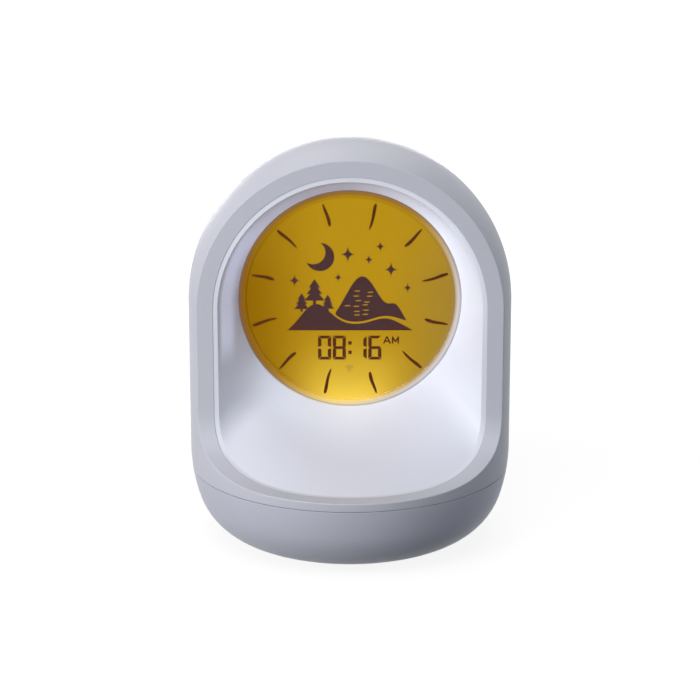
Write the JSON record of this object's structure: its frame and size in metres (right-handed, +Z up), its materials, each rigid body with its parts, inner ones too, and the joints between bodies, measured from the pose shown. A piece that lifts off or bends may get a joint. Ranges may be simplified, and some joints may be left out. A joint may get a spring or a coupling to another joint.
{
  "type": "kids alarm clock with night light",
  "caption": "Round dome-topped bedside alarm clock with a scooped front, lit round dial, night-light ring, rear push buttons and speaker.",
  "frame": {"origin": "centre of the bounding box at the underside of the rubber feet, on the surface that the clock stands on", "axes": "+Z up, the dial faces -Y, +X to the right as seen by someone who looks at the dial"},
  "size_m": [0.12, 0.1198, 0.1525],
  "materials": {
    "housing_plastic": "satin moulded shell plastic, cool light grey",
    "rear_plastic": "satin moulded shell plastic, cool light grey",
    "base_plastic": "satin moulded shell plastic, cool light grey",
    "scoop_plastic": "smooth pale moulded plastic",
    "foot_rubber": "dark grey rubber",
    "lens_clear": "clear polycarbonate lens",
    "ring_clear": "clear light pipe",
    "film_amber": "translucent printed film, amber lit from behind",
    "guide_white": "opal acrylic",
    "reflector_white": "white film",
    "digit_black": "black moulded block",
    "frame_white": "white moulded plastic",
    "board_green": "green solder mask",
    "led_white": "white diode body",
    "panel_plastic": "satin moulded plastic, mid grey",
    "button_plastic": "soft matte plastic",
    "plunger_black": "black plastic",
    "switch_black": "black plastic",
    "socket_steel": "plated steel",
    "grille_metal": "painted perforated metal, mid grey",
    "speaker_steel": "black painted steel",
    "cone_paper": "black paper cone",
    "magnet_ferrite": "ferrite magnet",
    "gasket_foam": "black foam",
    "capacitor_can": "sleeved aluminium can",
    "plug_cream": "cream plastic plug",
    "ribbon_white": "flat film cable",
    "wire_red": "red insulation",
    "wire_white": "white insulation",
    "screw_steel": "zinc-plated screw",
    "screw_brass": "small plated screw"
  },
  "bodies": {
    "case": {"front_housing": "housing_plastic", "rear_cover": "rear_plastic", "base_cap": "base_plastic", "scoop_panel": "scoop_plastic", "rubber_feet": "foot_rubber", "display_lens": "lens_clear", "night_light_ring": "ring_clear", "dial_film": "film_amber", "light_guide": "guide_white", "reflector_sheet": "reflector_white", "digit_module": "digit_black", "display_frame": "frame_white", "display_board": "board_green", "backlight_leds": "led_white", "night_light_board": "board_green", "night_light_leds": "led_white", "rear_panel": "panel_plastic", "speaker_grille": "grille_metal", "switch_bodies": "switch_black", "key_board": "board_green", "power_socket": "socket_steel", "speaker_frame": "speaker_steel", "speaker_cone": "cone_paper", "speaker_magnet": "magnet_ferrite", "speaker_gasket": "gasket_foam", "main_board": "board_green", "wifi_module": "socket_steel", "main_chips": "switch_black", "capacitors": "capacitor_can", "board_connectors": "plug_cream", "display_ribbon": "ribbon_white", "key_ribbon": "ribbon_white", "speaker_wires": "wire_red", "night_light_wires": "wire_white", "housing_screws": "screw_steel", "base_screws": "screw_steel", "frame_screws": "screw_steel", "board_screws": "screw_brass", "key_board_screws": "screw_brass", "speaker_screws": "screw_steel", "main_board_screws": "screw_brass"},
    "light_key": {"light_button": "button_plastic", "light_plunger": "plunger_black"},
    "alarm_key": {"alarm_button": "button_plastic", "alarm_plunger": "plunger_black"},
    "clock_key": {"clock_button": "button_plastic", "clock_plunger": "plunger_black"},
    "minus_key": {"minus_button": "button_plastic", "minus_plunger": "plunger_black"},
    "plus_key": {"plus_button": "button_plastic", "plus_plunger": "plunger_black"}
  },
  "joints": [
    {"name": "light_press", "type": "slide", "parent": "case", "child": "light_key", "axis": [0, -1, 0], "range_m": [0, 0.0008], "stiffness_N_per_m": 1500, "springref_m": -0.0005},
    {"name": "alarm_press", "type": "slide", "parent": "case", "child": "alarm_key", "axis": [0, -1, 0], "range_m": [0, 0.0008], "stiffness_N_per_m": 1500, "springref_m": -0.0005},
    {"name": "clock_press", "type": "slide", "parent": "case", "child": "clock_key", "axis": [0, -1, 0], "range_m": [0, 0.0008], "stiffness_N_per_m": 1500, "springref_m": -0.0005},
    {"name": "minus_press", "type": "slide", "parent": "case", "child": "minus_key", "axis": [0, -1, 0], "range_m": [0, 0.0008], "stiffness_N_per_m": 1500, "springref_m": -0.0005},
    {"name": "plus_press", "type": "slide", "parent": "case", "child": "plus_key", "axis": [0, -1, 0], "range_m": [0, 0.0008], "stiffness_N_per_m": 1500, "springref_m": -0.0005}
  ]
}
